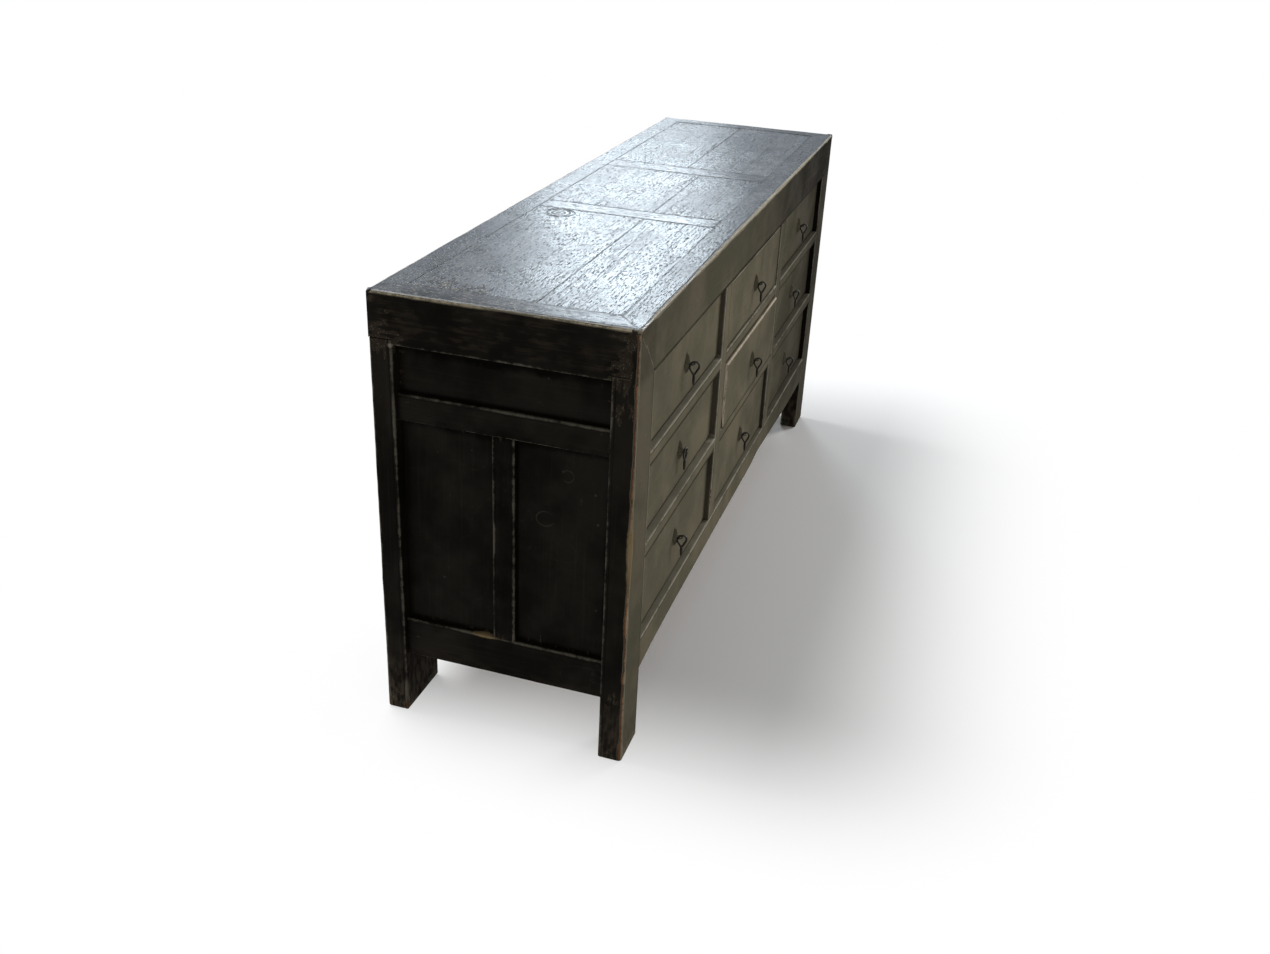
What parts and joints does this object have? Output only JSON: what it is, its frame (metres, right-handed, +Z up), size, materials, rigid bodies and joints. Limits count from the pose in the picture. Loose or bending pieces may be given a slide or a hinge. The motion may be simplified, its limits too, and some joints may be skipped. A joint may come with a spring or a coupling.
{
  "type": "dresser",
  "caption": "Long low black-lacquered chest of drawers with a framed plank top, panelled ends, straight post legs and iron drop pulls.",
  "frame": {"origin": "on the floor, at the middle of the box round the whole chest with its drawers and pulls as they stand at rest", "axes": "+X along the length towards the right end seen from the front, +Y from the drawers to the back, +Z up"},
  "size_m": [1.734, 0.5082, 0.85],
  "materials": {
    "black_lacquer": "old black lacquer, rubbed to brown wood along the edges",
    "drawer_lacquer": "old black lacquer with a soft olive grey bloom",
    "worn_top": "open-grained elm under worn black lacquer with a satin polish",
    "back_wood": "thin dark stain on rough boards",
    "bare_wood": "unfinished softwood, darkened with age",
    "iron_plate": "dark wrought iron with a rubbed face",
    "iron_drop": "dark wrought iron"
  },
  "bodies": {
    "case": {"post_front_left": "black_lacquer", "post_front_right": "black_lacquer", "post_back_left": "black_lacquer", "post_back_right": "black_lacquer", "top_rail_front": "black_lacquer", "top_rail_back": "black_lacquer", "top_rail_left": "black_lacquer", "top_rail_right": "black_lacquer", "top_batten_left": "worn_top", "top_batten_right": "worn_top", "top_boards_left": "worn_top", "top_boards_middle": "worn_top", "top_boards_right": "worn_top", "end_panels_left": "black_lacquer", "end_panels_right": "black_lacquer", "end_rails_left": "black_lacquer", "end_rails_right": "black_lacquer", "front_dividers": "black_lacquer", "front_cross_rails": "black_lacquer", "front_apron": "black_lacquer", "back_rails": "back_wood", "back_panels": "back_wood", "drawer_runners": "bare_wood", "drawer_guides": "bare_wood"},
    "drawer_top_left": {"drawer_top_left_front": "drawer_lacquer", "drawer_top_left_box": "bare_wood", "drawer_top_left_plate": "iron_plate"},
    "drawer_top_centre": {"drawer_top_centre_front": "drawer_lacquer", "drawer_top_centre_box": "bare_wood", "drawer_top_centre_plate": "iron_plate"},
    "drawer_top_right": {"drawer_top_right_front": "drawer_lacquer", "drawer_top_right_box": "bare_wood", "drawer_top_right_plate": "iron_plate"},
    "drawer_middle_left": {"drawer_middle_left_front": "drawer_lacquer", "drawer_middle_left_box": "bare_wood", "drawer_middle_left_plate": "iron_plate"},
    "drawer_middle_centre": {"drawer_middle_centre_front": "drawer_lacquer", "drawer_middle_centre_box": "bare_wood", "drawer_middle_centre_plate": "iron_plate"},
    "drawer_middle_right": {"drawer_middle_right_front": "drawer_lacquer", "drawer_middle_right_box": "bare_wood", "drawer_middle_right_plate": "iron_plate"},
    "drawer_bottom_left": {"drawer_bottom_left_front": "drawer_lacquer", "drawer_bottom_left_box": "bare_wood", "drawer_bottom_left_plate": "iron_plate"},
    "drawer_bottom_centre": {"drawer_bottom_centre_front": "drawer_lacquer", "drawer_bottom_centre_box": "bare_wood", "drawer_bottom_centre_plate": "iron_plate"},
    "drawer_bottom_right": {"drawer_bottom_right_front": "drawer_lacquer", "drawer_bottom_right_box": "bare_wood", "drawer_bottom_right_plate": "iron_plate"},
    "drop_top_left": {"drawer_top_left_drop": "iron_drop"},
    "drop_top_centre": {"drawer_top_centre_drop": "iron_drop"},
    "drop_top_right": {"drawer_top_right_drop": "iron_drop"},
    "drop_middle_left": {"drawer_middle_left_drop": "iron_drop"},
    "drop_middle_centre": {"drawer_middle_centre_drop": "iron_drop"},
    "drop_middle_right": {"drawer_middle_right_drop": "iron_drop"},
    "drop_bottom_left": {"drawer_bottom_left_drop": "iron_drop"},
    "drop_bottom_centre": {"drawer_bottom_centre_drop": "iron_drop"},
    "drop_bottom_right": {"drawer_bottom_right_drop": "iron_drop"}
  },
  "joints": [
    {"name": "slide_top_left", "type": "slide", "parent": "case", "child": "drawer_top_left", "axis": [0, -1, 0], "range_m": [-0.00257, 0.27743]},
    {"name": "slide_top_centre", "type": "slide", "parent": "case", "child": "drawer_top_centre", "axis": [0, -1, 0], "range_m": [-0.01053, 0.26947]},
    {"name": "slide_top_right", "type": "slide", "parent": "case", "child": "drawer_top_right", "axis": [0, -1, 0], "range_m": [-0.00148, 0.27852]},
    {"name": "slide_middle_left", "type": "slide", "parent": "case", "child": "drawer_middle_left", "axis": [0, -1, 0], "range_m": [0, 0.28]},
    {"name": "slide_middle_centre", "type": "slide", "parent": "case", "child": "drawer_middle_centre", "axis": [0, -1, 0], "range_m": [-0.01755, 0.26245]},
    {"name": "slide_middle_right", "type": "slide", "parent": "case", "child": "drawer_middle_right", "axis": [0, -1, 0], "range_m": [-0.00054, 0.27946]},
    {"name": "slide_bottom_left", "type": "slide", "parent": "case", "child": "drawer_bottom_left", "axis": [0, -1, 0], "range_m": [-0.00148, 0.27852]},
    {"name": "slide_bottom_centre", "type": "slide", "parent": "case", "child": "drawer_bottom_centre", "axis": [0, -1, 0], "range_m": [-0.00445, 0.27554]},
    {"name": "slide_bottom_right", "type": "slide", "parent": "case", "child": "drawer_bottom_right", "axis": [0, -1, 0], "range_m": [-0.00094, 0.27905]},
    {"name": "swing_top_left", "type": "hinge", "parent": "drawer_top_left", "child": "drop_top_left", "pos_m": [-0.53033, -0.23018, 0.675], "axis": [-0.866, -0.5, 0], "range_deg": [-6, 100]},
    {"name": "swing_top_centre", "type": "hinge", "parent": "drawer_top_centre", "child": "drop_top_centre", "pos_m": [0.00386, -0.23755, 0.675], "axis": [-0.766, -0.6428, 0], "range_deg": [-6, 100]},
    {"name": "swing_top_right", "type": "hinge", "parent": "drawer_top_right", "child": "drop_top_right", "pos_m": [0.53719, -0.2285, 0.675], "axis": [-0.766, -0.6428, 0], "range_deg": [-6, 100]},
    {"name": "swing_middle_left", "type": "hinge", "parent": "drawer_middle_left", "child": "drop_middle_left", "pos_m": [-0.52736, -0.22294, 0.496], "axis": [-0.0872, -0.9962, 0], "range_deg": [-6, 100]},
    {"name": "swing_middle_centre", "type": "hinge", "parent": "drawer_middle_centre", "child": "drop_middle_centre", "pos_m": [0.00369, -0.2447, 0.496], "axis": [-0.788, -0.6157, 0], "range_deg": [-6, 100]},
    {"name": "swing_middle_right", "type": "hinge", "parent": "drawer_middle_right", "child": "drop_middle_right", "pos_m": [0.53793, -0.22682, 0.496], "axis": [-0.6428, -0.766, 0], "range_deg": [-6, 100]},
    {"name": "swing_bottom_left", "type": "hinge", "parent": "drawer_bottom_left", "child": "drop_bottom_left", "pos_m": [-0.53052, -0.2292, 0.307], "axis": [-0.8829, -0.4695, 0], "range_deg": [-6, 100]},
    {"name": "swing_bottom_centre", "type": "hinge", "parent": "drawer_bottom_centre", "child": "drop_bottom_centre", "pos_m": [0.00369, -0.2316, 0.307], "axis": [-0.788, -0.6157, 0], "range_deg": [-6, 100]},
    {"name": "swing_bottom_right", "type": "hinge", "parent": "drawer_bottom_right", "child": "drop_bottom_right", "pos_m": [0.53633, -0.22856, 0.307], "axis": [-0.866, -0.5, 0], "range_deg": [-6, 100]}
  ]
}
